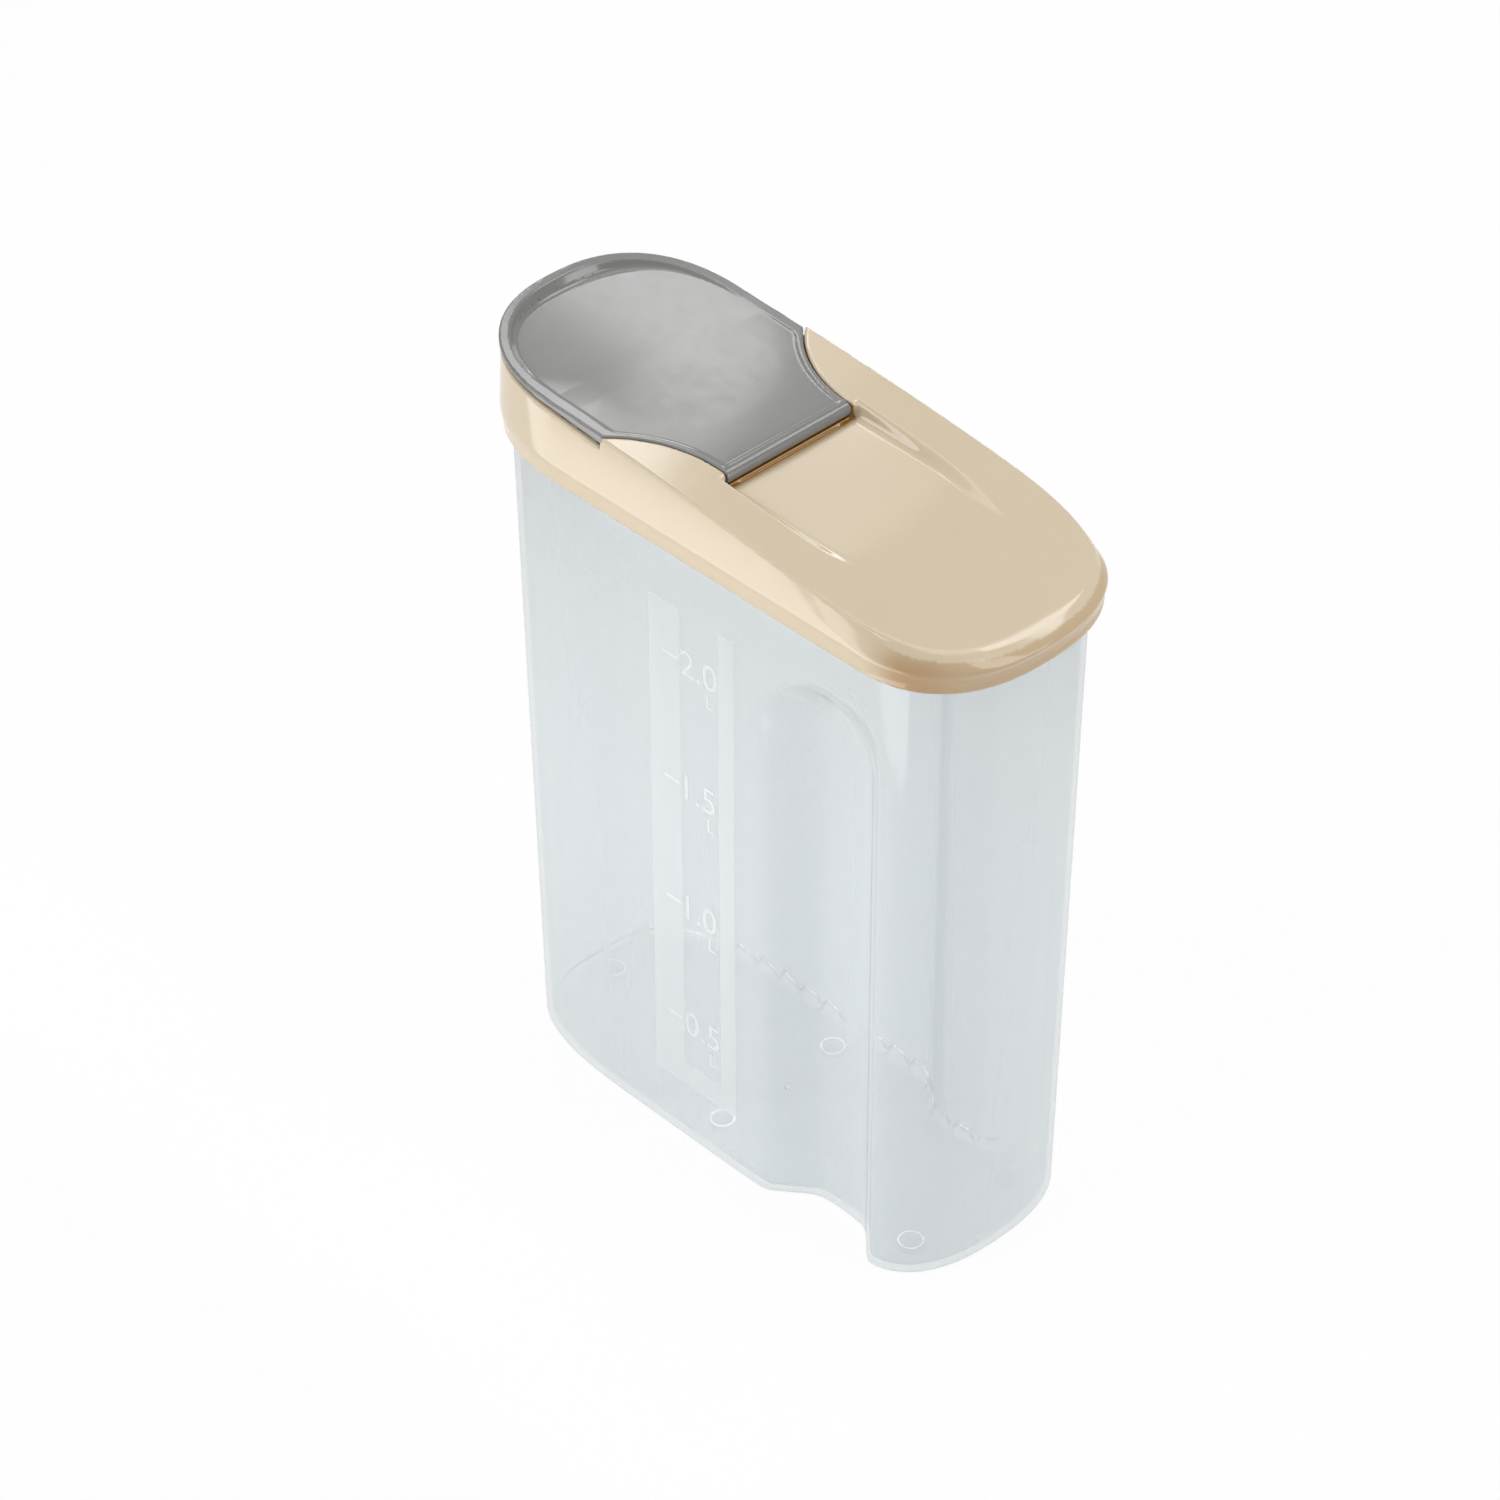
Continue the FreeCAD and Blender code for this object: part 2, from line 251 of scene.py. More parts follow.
Plan = namedtuple("Plan", "front rear half_width front_round rear_round front_power rear_power")
rim_plan = Plan(-rim_length / 2, rim_length / 2, rim_width / 2, rim_front_round, rim_rear_round,
                end_power, end_power)


def inset(plan, amount):
    """The same outline drawn in by an even amount."""
    return Plan(plan.front + amount, plan.rear - amount, plan.half_width - amount,
                plan.front_round - amount, plan.rear_round - amount, plan.front_power, plan.rear_power)


def mix_plans(low, high, share):
    """Outline part of the way between two others; the share may be an array."""
    return Plan(*(a + (b - a) * share for a, b in zip(low, high)))


def wall_plan(front_inset, side_inset, rear_inset):
    """Outline of the jar's wall, drawn in from the rim."""
    return Plan(rim_plan.front + front_inset, rim_plan.rear - rear_inset,
                rim_plan.half_width - side_inset, wall_front_round, wall_rear_round,
                wall_front_power, end_power)


wall_top_plan = wall_plan(wall_front_inset, wall_side_inset, wall_rear_inset)
base_plan = wall_plan(base_front_inset, base_side_inset, base_rear_inset)
base_z = foot_height + base_edge_radius


def wall_at(z):
    """Outline of the jar's wall at one height."""
    return mix_plans(base_plan, wall_top_plan, (z - base_z) / (jar_height - base_z))


# Levels and outlines of the lid
skirt_z = jar_height - skirt_overlap
seal_z = jar_height + seat_gap
roof_z = seal_z + seal_thickness
ridge_z = roof_z + web_thickness
top_z = skirt_z + lid_height
plug_z = skirt_z - plug_drop
skirt_plan = inset(rim_plan, -(rim_gap + skirt_wall))
ridge_plan = inset(skirt_plan, -ridge_out)
top_plan = Plan(skirt_plan.front + top_inset, skirt_plan.rear - rear_rake,
                skirt_plan.half_width - top_inset, top_front_round, top_rear_round,
                end_power, end_power)
plug_plan = inset(wall_at(plug_z), jar_wall + rim_gap)


def circle_through(points):
    """Middle and radius of the circle through three points of the XZ plane."""
    (x1, z1), (x2, z2), (x3, z3) = points
    rows = np.array([[x2 - x1, z2 - z1], [x3 - x1, z3 - z1]])
    sums = np.array([x2 ** 2 - x1 ** 2 + z2 ** 2 - z1 ** 2, x3 ** 2 - x1 ** 2 + z3 ** 2 - z1 ** 2]) / 2
    middle = np.linalg.solve(rows, sums)
    return middle[0], middle[1], math.hypot(x1 - middle[0], z1 - middle[1])


crest_x, crest_z, crest_radius = circle_through(((skirt_plan.front, skirt_z + crest_front_rise),
                                                 (0, skirt_z + crest_middle_rise),
                                                 (skirt_plan.rear, skirt_z + crest_rear_rise)))


def crest_height(x):
    """Height of the lid's top along the jar."""
    return crest_z + np.sqrt(crest_radius ** 2 - (x - crest_x) ** 2)


hinge_z = crest_height(hinge_x) - barrel_radius
flap_plan = Plan(top_plan.front - flap_overhang, top_plan.rear, top_plan.half_width - flap_side_inset,
                 top_plan.front_round, top_plan.rear_round, end_power, end_power)
arc_centre_y = hinge_half_length + flap_arc_radius
corner_x = hinge_x - math.sqrt(flap_arc_radius ** 2 - (arc_centre_y - flap_plan.half_width) ** 2)
lip_top_z = crest_height(flap_plan.front) + lip_rise
pocket_end_x = hinge_x + barrel_radius + flap_gap
recess_end_x = pocket_end_x + recess_length
bridge_front_x = pocket_end_x - bridge_length


def seat_height(x):
    """Height of the slanted seat that the flap closes on."""
    corner_z = crest_height(corner_x) - flap_corner_depth
    slope = (lip_top_z - flap_tip_depth - corner_z) / (flap_plan.front - corner_x)
    return corner_z + slope * (x - corner_x)


# Distance fields: negative inside


def round_max(a, b, radius):
    """Overlap of two fields with its outer edge rounded."""
    u = np.maximum(a + radius, 0)
    v = np.maximum(b + radius, 0)
    return np.minimum(-radius, np.maximum(a, b)) + np.sqrt(u * u + v * v)


def round_min(a, b, radius):
    """Union of two fields with its inner edge filled."""
    return -round_max(-a, -b, radius)


def smooth_step(value, start, end):
    """Soft change from 0 to 1."""
    share = np.clip((value - start) / (end - start), 0, 1)
    return share * share * (3 - 2 * share)


def plan_distance(x, y, plan, with_normal=False):
    """Distance from a rounded outline, and how far its normal points to the rear."""
    front_x = plan.front + plan.front_round
    rear_x = plan.rear - plan.rear_round
    in_front = x < front_x
    length = np.where(in_front, plan.front_round, plan.rear_round)
    along = np.where(in_front, front_x - x, np.maximum(x - rear_x, 0)) / length
    across = np.abs(y) / plan.half_width
    power = np.where(in_front, plan.front_power, plan.rear_power)
    reach = np.maximum((along ** power + across ** power) ** (1 / power), least_reach)
    slope_x = (along / reach) ** (power - 1) / length
    slope_y = (across / reach) ** (power - 1) / plan.half_width
    slope = np.hypot(slope_x, slope_y)
    distance = (reach - 1) / slope
    if with_normal:
        return distance, np.where(in_front, -slope_x, slope_x) / slope
    return distance


def lid_outer(x, y, z):
    """Side of the lid: skirt, undercut and ridge, then a wall that leans in, most at the rear."""
    rise = z - ridge_z
    share = (rise + np.sqrt(rise ** 2 + ridge_soft ** 2)) / 2 / (top_z - ridge_z)
    square = np.clip(share * (top_z - ridge_z) / plateau_rise, 0, 1)
    plan = mix_plans(ridge_plan, top_plan, share)
    rear_round = ridge_plan.rear_round + (plateau_round - ridge_plan.rear_round) * square
    rear_power = end_power + (plateau_power - end_power) * square
    plan = plan._replace(rear_round=rear_round, rear_power=rear_power)
    distance, rearward = plan_distance(x, y, plan, True)
    drop = np.maximum(-rise, 0)
    groove = smooth_step(drop, undercut_start, undercut_full)
    groove = groove - undercut_return * smooth_step(drop, undercut_return_start, undercut_return_end)
    rearward = np.maximum(rearward, 0)
    under = ridge_out * smooth_step(drop, 0, skirt_taper_drop) + undercut_depth * rearward * groove
    lean = rearward * rear_rake / (top_z - ridge_z) * (rise > 0)
    return (distance + under) / np.sqrt(1 + lean ** 2)


def ear_distance(x, y, radius, straight):
    """Distance into the lid's ears: an arc beside the flap, straight behind the hinge line."""
    arc = radius - np.hypot(x - hinge_x, np.abs(y) - arc_centre_y)
    return np.where(x < hinge_x, arc, np.abs(y) - straight)


def recess_field(x, y, z, grow):
    """Shallow hollow behind the hinge that runs out into the top at a rounded end."""
    start_z = crest_height(pocket_end_x) - recess_depth
    slope = (crest_height(recess_end_x) - start_z) / recess_length
    cup = recess_cup * (y / recess_half_width) ** 2
    floor = start_z + slope * (x - pocket_end_x) + cup - z - grow
    near_end = smooth_step(x, recess_end_x - recess_end_length, recess_end_x)
    corner = recess_corner_radius + recess_end_radius * near_end
    trough = round_max(floor, np.abs(y) - recess_half_width - grow, corner + grow)
    return np.maximum(trough, pocket_end_x - grow - x)


def bar_field(x, y, z, radius, half_length):
    """Round bar on the hinge line."""
    round_part = np.hypot(x - hinge_x, z - hinge_z) - radius
    return round_max(round_part, np.abs(y) - half_length, barrel_edge_radius)


def lid_field(x, y, z):
    """The whole lid."""
    outer = lid_outer(x, y, z)
    solid = round_max(outer, z - crest_height(x), lid_top_radius)
    solid = round_max(solid, skirt_z - z, skirt_edge_radius)
    plug = plan_distance(x, y, plug_plan)
    plug_ring = np.maximum(round_max(plug, plug_z - z, plug_edge_radius), z - ridge_z)
    solid = np.minimum(solid, plug_ring)
    pocket = np.maximum(ear_distance(x, y, flap_arc_radius - flap_gap, hinge_half_length + flap_gap),
                        x - pocket_end_x)
    solid = round_max(solid, -np.maximum(pocket, seat_height(x) - z), pocket_edge_radius)
    solid = round_max(solid, -recess_field(x, y, z, 0), recess_rim_radius)
    groove = np.maximum(plan_distance(x, y, skirt_plan) + skirt_wall, np.maximum(-plug, z - roof_z))
    solid = np.maximum(solid, -groove)
    low = np.maximum(plug + plug_wall, z - ridge_z - web_thickness)
    deck = np.maximum(np.maximum(pocket - lid_wall, seat_height(x) - lid_wall - z), bridge_front_x - x)
    roof = np.maximum(crest_height(x) - lid_wall - z, bridge_front_x - x)
    high = np.maximum(outer + lid_wall, ridge_z - z)
    for kept in (deck, roof, recess_field(x, y, z, lid_wall)):
        high = np.maximum(high, -kept)
    solid = round_max(solid, -np.minimum(low, high), lid_inside_radius)
    hinge_room = bar_field(x, y, z, barrel_radius + flap_gap, hinge_half_length + flap_gap)
    return np.maximum(solid, -hinge_room)


def flap_field(x, y, z):
    """The whole flap: dished plate, raised lip, band round the edge, hinge barrel and pins."""
    plan, rearward = plan_distance(x, y, flap_plan, True)
    ears = ear_distance(x, y, flap_arc_radius, hinge_half_length)
    out = np.maximum(round_max(plan, ears, flap_corner_radius), x - hinge_x)
    crest = crest_height(x)
    lip_run = np.maximum(flap_plan.front + lip_length - x, 0) / lip_length
    rim_top = crest + lip_rise * lip_run * (lip_slant + (1 - lip_slant) * lip_run)
    body = round_max(out, z - rim_top, flap_rim_radius)
    rim = np.maximum(plan_distance(x, y, inset(top_plan, lid_wall + flap_gap)), out + flap_wall)
    body = round_max(body, -np.maximum(z - seat_height(x) - seat_gap, -rim), flap_seat_radius)
    behind = np.clip((hinge_x - barrel_radius - x) / dish_fade, 0, 1)
    side_lift = dish_side_lift * behind * (y / flap_plan.half_width) ** 2
    sink = dish_depth * np.sin(math.pi / 2 * behind) - dish_front_lift * lip_run ** 2 - side_lift
    lip_share = np.clip((z - crest + sink) / (lip_rise + dish_depth), 0, 1)
    foot_width = lip_foot_width + lip_front_foot * np.maximum(-rearward, 0)
    inner = plan + foot_width + (lip_width - foot_width) * lip_share
    inner = round_max(inner, ears + bead_width, dish_corner_radius)
    body = round_max(body, -round_max(inner, crest - sink - z, dish_round), dish_edge_radius)
    body = np.maximum(body, -np.maximum(out + flap_wall, z - crest + flap_plate))
    body = round_min(body, bar_field(x, y, z, barrel_radius, hinge_half_length), barrel_fillet)
    pins = bar_field(x, y, z, pin_radius, hinge_half_length + flap_gap + pin_engagement)
    return np.minimum(body, pins)


# Meshes


def gradient(field, points, reach):
    """Slope of a field at points, by central differences."""
    slopes = np.empty_like(points)
    for axis in range(3):
        step = np.zeros(3)
        step[axis] = reach
        slopes[:, axis] = (field(*(points + step).T) - field(*(points - step).T)) / (2 * reach)
    return slopes


def field_mesh(field, low, high, step):
    """Points, quads and normals of a field's zero surface, one point in each grid cell it crosses."""
    axes = [np.arange(a, b + step, step) for a, b in zip(low, high)]
    values = field(*np.meshgrid(*axes, indexing="ij", sparse=True))
    inside = values < 0
    corner_steps = [(i, j, k) for i in (0, 1) for j in (0, 1) for k in (0, 1)]
    cells = tuple(n - 1 for n in values.shape)
    count = np.zeros(cells, int)
    for i, j, k in corner_steps:
        count += inside[i:i + cells[0], j:j + cells[1], k:k + cells[2]]
    places = np.argwhere((count > 0) & (count < 8))
    corners = np.stack([values[tuple((places + c).T)] for c in corner_steps], 1)
    total = np.zeros((len(places), 3))
    crossings = np.zeros(len(places))
    for a, first in enumerate(corner_steps):
        for b, second in enumerate(corner_steps):
            if b > a and sum(abs(p - q) for p, q in zip(first, second)) == 1:
                crossed = (corners[:, a] < 0) != (corners[:, b] < 0)
                gap = np.where(crossed, corners[:, a] - corners[:, b], 1)
                share = (corners[:, a] / gap)[:, None]
                place = np.array(first) * (1 - share) + np.array(second) * share
                total += np.where(crossed[:, None], place, 0)
                crossings += crossed
    points = np.array(low) + (places + total / crossings[:, None]) * step
    for _ in range(settle_rounds):
        slopes = gradient(field, points, step / slope_parts)
        size = np.maximum((slopes ** 2).sum(1), least_slope)
        move = -(field(*points.T) / size)[:, None] * slopes
        length = np.maximum(np.linalg.norm(move, axis=1), tiny)[:, None]
        points = points + move * np.minimum(1, step / settle_parts / length)
    index = np.full(cells, -1)
    index[tuple(places.T)] = np.arange(len(places))
    quads = []
    for axis in range(3):
        u, v = (axis + 1) % 3, (axis + 2) % 3
        ends = np.moveaxis(inside, axis, 0)
        changes = np.argwhere(ends[:-1] != ends[1:])
        order = [axis] + [a for a in range(3) if a != axis]
        at = np.empty_like(changes)
        at[:, order] = changes
        back_u = np.eye(3, dtype=int)[u]
        back_v = np.eye(3, dtype=int)[v]
        around = (back_u + back_v, back_v, np.zeros(3, int), back_u)
        ring = np.stack([index[tuple((at - back).T)] for back in around], 1)
        outward = inside[tuple(at.T)]
        quads.append(np.where(outward[:, None], ring, ring[:, ::-1]))
    normals = gradient(field, points, step / normal_parts)
    normals /= np.maximum(np.linalg.norm(normals, axis=1), tiny)[:, None]
    return points, np.concatenate(quads), normals


def painted_gap_shade(points):
    """Share of painted shade (a darker warm colour) on the lid, in the narrow gap round the flap and on
    the skirt's rear end.
    """
    x, y, z = points.T
    below = smooth_step(crest_height(x) - z, 0, painted_shade_depth)
    arc = np.abs(ear_distance(x, y, flap_arc_radius - flap_gap, hinge_half_length + flap_gap))
    beside = (1 - smooth_step(arc, 0, painted_shade_near)) * (x > corner_x) * (x < hinge_x)
    rear = (1 - smooth_step(x, pocket_end_x, pocket_end_x + painted_shade_rear)) * (x >= hinge_x)
    inside = np.abs(y) < hinge_half_length + flap_gap + painted_shade_near
    gap = np.maximum(painted_shade_sides * beside, rear * inside) * below
    # Painted shade on the skirt's rear end, below the ridge, where the corner lies in shadow
    distance, rearward = plan_distance(x, y, skirt_plan, True)
    turn = smooth_step(rearward, 0, skirt_painted_shade_turn)
    turn = turn - skirt_painted_shade_ease * smooth_step(rearward, skirt_ease_start, skirt_ease_end)
    skirt = turn * smooth_step(ridge_z + skirt_painted_shade_height - z, 0, skirt_painted_shade_height)
    return np.maximum(gap, skirt_painted_shade * skirt * (distance > -skirt_wall))


def add_piece(name, shape, body, material, node=None, smooth=True):
    """Mesh object riding on a body, from points in millimetres, faces and any normals."""
    points, faces, *normals = shape
    mesh = bpy.data.meshes.new(name)
    mesh.from_pydata((np.asarray(points) * MM).tolist(), [], [list(face) for face in faces])
    mesh.update()
    mesh.polygons.foreach_set("use_smooth", np.full(len(mesh.polygons), smooth))
    if normals:
        mesh.normals_split_custom_set_from_vertices(normals[0].tolist())
    mesh.materials.append(material)
    piece = bpy.data.objects.new(name, mesh)
    bpy.context.scene.collection.objects.link(piece)
    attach(piece, body)
    if node:
        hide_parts(node)
    return piece


def end_points(side_x, tip, half_width, power, steps):
    """Evenly spaced points of one rounded end on the +Y side, from its tip to the straight side."""
    angle = np.linspace(0, math.pi / 2, end_samples)
    x = side_x + (tip - side_x) * np.cos(angle).clip(0) ** (2 / power)
    y = half_width * np.sin(angle).clip(0) ** (2 / power)
    run = np.concatenate([[0], np.cumsum(np.hypot(np.diff(x), np.diff(y)))])
    even = np.linspace(0, run[-1], steps + 1)
    return np.stack([np.interp(even, run, x), np.interp(even, run, y)], 1)


def half_outline(plan):
    """Points of one side of an outline, from the front tip to the rear tip, with y positive."""
    front_x = plan.front + plan.front_round
    rear_x = plan.rear - plan.rear_round
    front = end_points(front_x, plan.front, plan.half_width, plan.front_power, front_steps)
    rear = end_points(rear_x, plan.rear, plan.half_width, plan.rear_power, rear_steps)[::-1]
    side_x = np.linspace(front_x, rear_x, side_steps + 1)[1:-1]
    side = np.stack([side_x, np.full(len(side_x), plan.half_width)], 1)
    return np.concatenate([front, side, rear])


def grip_reach(x, z, grow):
    """How far from the middle plane a wall face, set in by an amount, may lie at a grip hollow."""
    floor_y = base_plan.half_width - grip_depth - grow
    floor_front = grip_x - grip_floor_length / 2
    floor_rear = grip_x + grip_floor_length / 2
    radius = grip_floor_length / 2
    spring_z = grip_height - grip_top_ramp - radius
    up = np.maximum(z - spring_z, 0)
    side = x - grip_x
    ahead = np.where(side < 0, grip_depth / grip_front_ramp, grip_depth / grip_rear_ramp)
    angle = np.arctan2(up, np.abs(side))
    slope = ahead + (grip_depth / grip_top_ramp - ahead) * np.sin(angle) ** 2
    away = np.hypot(side, up) - radius
    away = np.where(z < spring_z, np.maximum(floor_front - x, x - floor_rear), away)
    ramp = (away + np.sqrt(away ** 2 + grip_fillet ** 2)) / 2
    return floor_y + slope * ramp


def soft_least(a, b, soft):
    """The lesser of two values with a soft change between them."""
    return (a + b - np.sqrt((a - b) ** 2 + soft ** 2)) / 2


def jar_ring(plan, z, grow):
    """Outline of one wall face at one height, with the grip hollows pressed in."""
    side = half_outline(plan)
    reach = grip_reach(side[:, 0], z, grow)
    pressed = soft_least(side[:, 1], reach, grip_blend)
    side[:, 1] = np.where(reach - side[:, 1] < grip_blend_reach, pressed, side[:, 1])
    side[:, 1] = np.maximum(side[:, 1], 0)
    side[0, 1] = side[-1, 1] = 0
    return side


def drawn_in(side, amount):
    """A half outline moved in along its own normals."""
    tangent = np.gradient(side, axis=0)
    tangent[0] = (0, 1)
    tangent[-1] = (0, -1)
    tangent /= np.linalg.norm(tangent, axis=1)[:, None]
    inward = np.stack([tangent[:, 1], -tangent[:, 0]], 1)
    moved = side + inward * amount
    moved[:, 1] = np.maximum(moved[:, 1], 0)
    return moved


def face_rings(grow, bottom_z, edge_radius):
    """Rings of one face of the jar's wall, from its bottom edge up to the rim."""
    first_z = bottom_z + edge_radius
    levels = np.concatenate([np.linspace(first_z, arch_low_z, wall_rings),
                             np.linspace(arch_low_z, arch_high_z, arch_rings)[1:],
                             np.linspace(arch_high_z, jar_height - rim_band_height, top_rings)[1:]])
    lowest = jar_ring(inset(base_plan, grow), first_z, grow)
    rings = []
    for angle in np.linspace(0, math.pi / 2, edge_rings)[:-1]:
        z = bottom_z + edge_radius * (1 - math.cos(angle))
        rings.append((drawn_in(lowest, edge_radius * (1 - math.sin(angle))), z))
    for z in levels:
        rings.append((jar_ring(inset(wall_at(z), grow), z, grow), z))
    return rings


def closed_ring(side, z):
    """Full ring of points from a half outline."""
    near = np.stack([side[:, 0], -side[:, 1], np.full(len(side), z)], 1)
    far = near[-2:0:-1] * (1, -1, 1)
    return np.concatenate([near, far])


def ring_faces(levels, around, closed):
    """Quads between neighbouring rings, and from the last to the first where the section is closed."""
    faces = []
    for level in range(levels if closed else levels - 1):
        above = (level + 1) % levels
        for i in range(around):
            j = (i + 1) % around
            faces.append([level * around + i, level * around + j,
                          above * around + j, above * around + i])
    return faces


def cap_points(side, z, rows):
    """Rows of points across a floor, from one side of an outline to the other."""
    across = np.linspace(-1, 1, rows + 1)[1:-1]
    x = np.repeat(side[1:-1, 0], len(across))
    y = (side[1:-1, 1][:, None] * across).ravel()
    return np.stack([x, y, np.full(len(x), z)], 1)


def cap_faces(ring_start, half, cap_start, rows, upward):
    """Quads between the rows of a floor and the ring round it."""
    last = half - 1
    full = 2 * last

    def at(i, row):
        if i == 0:
            return ring_start
        if i == last:
            return ring_start + last
        if row == 0:
            return ring_start + i
        if row == rows:
            return ring_start + full - i
        return cap_start + (i - 1) * (rows - 1) + row - 1
    faces = []
    for i in range(last):
        for row in range(rows):
            face = [at(i, row), at(i + 1, row), at(i + 1, row + 1), at(i, row + 1)]
            face = list(dict.fromkeys(face))
            faces.append(face if upward else face[::-1])
    return faces


def gate_rise(points):
    """How far the gate mark stands up at points of the floor."""
    gate = np.hypot(points[:, 0] - gate_place[0], points[:, 1] - gate_place[1])
    return gate_height * (1 - smooth_step(gate, 0, gate_radius))


def edge_ripple(points):
    """Uneven moulding along the far inner edge of the floor."""
    x = points[:, 0]
    spread = smooth_step(x, ripple_front_x, ripple_front_x + ripple_fade)
    spread = spread * (1 - smooth_step(x, ripple_rear_x - ripple_fade, ripple_rear_x))
    spread = spread * smooth_step(points[:, 1], ripple_side_y, ripple_side_y + ripple_side_fade)
    long_wave = ripple_long_height * np.sin(x * ripple_long_turn)
    short_wave = ripple_short_height * np.sin(x * ripple_short_turn + ripple_short_start)
    return spread * (ripple_lift + long_wave + short_wave)


def floor_edge():
    """Bead where the floor meets the wall, round the front and along the far side."""
    side = drawn_in(jar_ring(inset(base_plan, jar_wall), base_z, jar_wall), edge_bead_inset)
    side = side[:-rear_steps // 2]
    near = side[1:front_steps // 2][::-1] * (1, -1)
    line = np.concatenate([near, side])
    level = foot_height + jar_floor + inner_edge_radius - edge_bead_inset
    points = np.column_stack([line, np.full(len(line), level)])
    points[:, 2] += edge_ripple(points)
    half = edge_bead_width / 2
    offsets = ((0, 0, half), (0, -half, 0), (0, 0, -half), (0, half, 0))
    count = len(line)
    faces = []
    for row in range(len(offsets)):
        above = (row + 1) % len(offsets)
        for i in range(count - 1):
            faces.append([row * count + i, row * count + i + 1, above * count + i + 1, above * count + i])
    return np.concatenate([points + offset for offset in offsets]), faces


def turned(profile, place, cap):
    """Shape turned about an upright line from radii and heights, with a flat bottom on request."""
    turns = np.linspace(0, 2 * math.pi, turn_steps + 1)[:-1]
    around = np.stack([np.cos(turns), np.sin(turns)], 1)
    rings = [np.column_stack([around * radius + place, np.full(turn_steps, z)]) for radius, z in profile]
    faces = ring_faces(len(rings), turn_steps, False)
    if cap:
        faces.append(list(range(turn_steps))[::-1])
    return np.concatenate(rings), faces


def feet():
    """Low round feet under the floor."""
    bevel = foot_edge * edge_bevel
    profile = ((foot_radius - foot_edge, foot_clear), (foot_radius - bevel, foot_clear + bevel),
               (foot_radius, foot_edge), (foot_radius, foot_height))
    return joined([turned(profile, place, True) for place in foot_places])


def foot_rings():
    """Bright ring on the floor over each foot, and the gate mark's tip."""
    level = foot_height + jar_floor + foot_clear
    ring = ((foot_radius - foot_ring_width, level), (foot_radius, level))
    shapes = [turned(ring, place, False) for place in foot_places]
    tip_z = foot_height + jar_floor + gate_height
    tip = ((gate_radius, tip_z - gate_height), (gate_radius / 2, tip_z),
           (gate_radius / 8, tip_z + gate_height / 2))
    return joined(shapes + [turned(tip, gate_place, False)])


def jar_mesh():
    """Closed wall of the jar: outer face, rim, inner face, floor."""
    outer = face_rings(0, foot_height, base_edge_radius)
    inner = face_rings(jar_wall, foot_height + jar_floor, inner_edge_radius)
    rim_inner = jar_ring(inset(wall_top_plan, jar_wall), jar_height, jar_wall)
    band_low = jar_height - rim_band_height
    edge = rim_edge_radius
    bevel = edge * edge_bevel
    rim_out = half_outline(rim_plan)
    rim_edge = half_outline(inset(rim_plan, edge))
    rim = [(rim_edge, band_low), (rim_out, band_low + edge), (rim_out, jar_height - edge),
           (half_outline(inset(rim_plan, bevel)), jar_height - bevel), (rim_edge, jar_height),
           (drawn_in(rim_inner, -edge), jar_height), (rim_inner, jar_height - edge)]
    rings = outer + rim + inner[::-1]
    half = len(outer[0][0])
    around = 2 * (half - 1)
    points = [closed_ring(side, z) for side, z in rings]
    faces = ring_faces(len(rings), around, False)
    for ring in points[-edge_rings:]:
        ring[:, 2] += edge_ripple(ring)
    bottom = cap_points(outer[0][0], foot_height, floor_rows)
    floor = cap_points(inner[0][0], foot_height + jar_floor, floor_rows)
    floor[:, 2] += gate_rise(floor)
    start = around * len(rings)
    faces += cap_faces(0, half, start, floor_rows, False)
    faces += cap_faces(around * (len(rings) - 1), half, start + len(bottom), floor_rows, True)
    return np.concatenate(points + [bottom, floor]), faces


def ring_mesh(outer_plan, inner_plan, low, high, edge):
    """Flat closed ring between two outlines."""
    rings = [closed_ring(half_outline(plan), z) for plan, z in (
        (inset(outer_plan, edge), low), (outer_plan, low + edge), (outer_plan, high - edge),
        (inset(outer_plan, edge), high), (inset(inner_plan, -edge), high), (inner_plan, high - edge),
        (inner_plan, low + edge), (inset(inner_plan, -edge), low))]
    return np.concatenate(rings), ring_faces(len(rings), len(rings[0]), True)


def near_wall_points(flat, rise):
    """Points of the near wall from places along the jar and up it, raised off its face."""
    flat = np.asarray(flat, float)
    face_y = -wall_at(flat[:, 1]).half_width - rise
    return np.stack([flat[:, 0], face_y, flat[:, 1]], 1)


def raised_shape(outline, rise):
    """Front face and edge of a thin shape on the near wall, from its outline."""
    count = len(outline)
    points = np.concatenate([near_wall_points(outline, rise), near_wall_points(outline, 0)])
    faces = [list(range(count))]
    faces += [[i, i + count, (i + 1) % count + count, (i + 1) % count] for i in range(count)]
    return points, faces


def strip_outline():
    """Frosted border: down the front, under the window and up the rear."""
    return [(strip_front_x, strip_high_z), (strip_front_x, strip_low_z), (strip_rear_x, strip_low_z),
            (strip_rear_x, strip_high_z), (window_rear_x, strip_high_z), (window_rear_x, window_low_z),
            (window_front_x, window_low_z), (window_front_x, strip_high_z)]


def mark_outline(z):
    """One level line beside the window."""
    low = z - mark_thickness / 2
    high = z + mark_thickness / 2
    return [(mark_front_x, high), (mark_front_x, low), (mark_rear_x, low), (mark_rear_x, high)]


def words(text, height, middle_x, low_z):
    """Flat letters on the near wall."""
    curve = bpy.data.curves.new("letters", "FONT")
    curve.body = text
    holder = bpy.data.objects.new("letters", curve)
    bpy.context.scene.collection.objects.link(holder)
    bpy.context.view_layer.update()
    mesh = holder.evaluated_get(bpy.context.evaluated_depsgraph_get()).to_mesh()
    flat = np.array([v.co[:2] for v in mesh.vertices])
    faces = [list(p.vertices) for p in mesh.polygons]
    bpy.data.objects.remove(holder)
    bpy.data.curves.remove(curve)
    scale = height / np.ptp(flat[:, 1])
    middle = (flat.max(0) + flat.min(0)) / 2
    flat = (flat - (middle[0], flat[:, 1].min())) * scale + (middle_x, low_z)
    return near_wall_points(flat, mark_rise), faces


